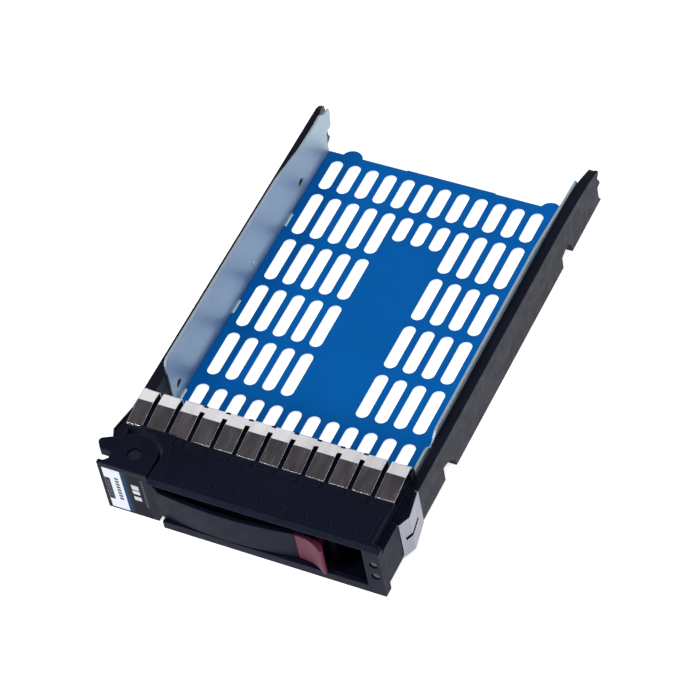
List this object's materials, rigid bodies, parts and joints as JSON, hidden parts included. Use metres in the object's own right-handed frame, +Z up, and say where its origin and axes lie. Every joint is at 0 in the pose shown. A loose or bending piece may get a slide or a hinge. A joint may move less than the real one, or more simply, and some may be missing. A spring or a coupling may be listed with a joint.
{
  "type": "hard drive carrier tray",
  "caption": "Sliding carrier tray for a 3.5-inch hard drive: slotted floor, steel side walls, runners, contact fingers, and a hinged ejector lever with a press latch.",
  "frame": {"origin": "bottom centre of the bounding box, on the plane that the runners stand on", "axes": "+X to the right seen from the front, +Y from the front face to the rear (insertion direction), +Z up"},
  "size_m": [0.1162, 0.1932, 0.026],
  "materials": {
    "black_plastic": "satin moulded, faint blue-grey tone",
    "zinc_steel": "zinc-plated sheet, soft sheen",
    "blue_plastic": "satin",
    "contact_steel": "brushed spring steel sheet",
    "light_guide": "clear moulded light guide",
    "pin_steel": "turned steel",
    "spring_steel": "drawn wire",
    "label_print": "printed self-adhesive label",
    "maroon_plastic": "satin moulded"
  },
  "bodies": {
    "carrier": {"front_bezel": "black_plastic", "front_chassis": "black_plastic", "left_rail": "black_plastic", "right_rail": "black_plastic", "left_side_wall": "zinc_steel", "right_side_wall": "zinc_steel", "slotted_floor": "blue_plastic", "finger_strip": "contact_steel", "left_side_clip": "contact_steel", "right_side_clip": "contact_steel", "light_pipe_upper": "light_guide", "light_pipe_lower": "light_guide", "lever_pin": "pin_steel", "lever_pin_ring": "pin_steel", "lever_spring": "spring_steel"},
    "lever": {"ejector_lever": "black_plastic", "lever_label": "label_print", "latch_pin": "pin_steel", "latch_spring": "spring_steel"},
    "latch": {"latch_button": "maroon_plastic"}
  },
  "joints": [
    {"name": "lever_swing", "type": "hinge", "parent": "carrier", "child": "lever", "pos_m": [-0.0424, -0.0854, 0.012], "axis": [0, 0, -1], "range_deg": [0, 35]},
    {"name": "latch_press", "type": "hinge", "parent": "lever", "child": "latch", "pos_m": [0.0252, -0.0906, 0.0115], "axis": [0, 0, 1], "range_deg": [0, 13], "stiffness_Nm_per_rad": 0.05}
  ]
}
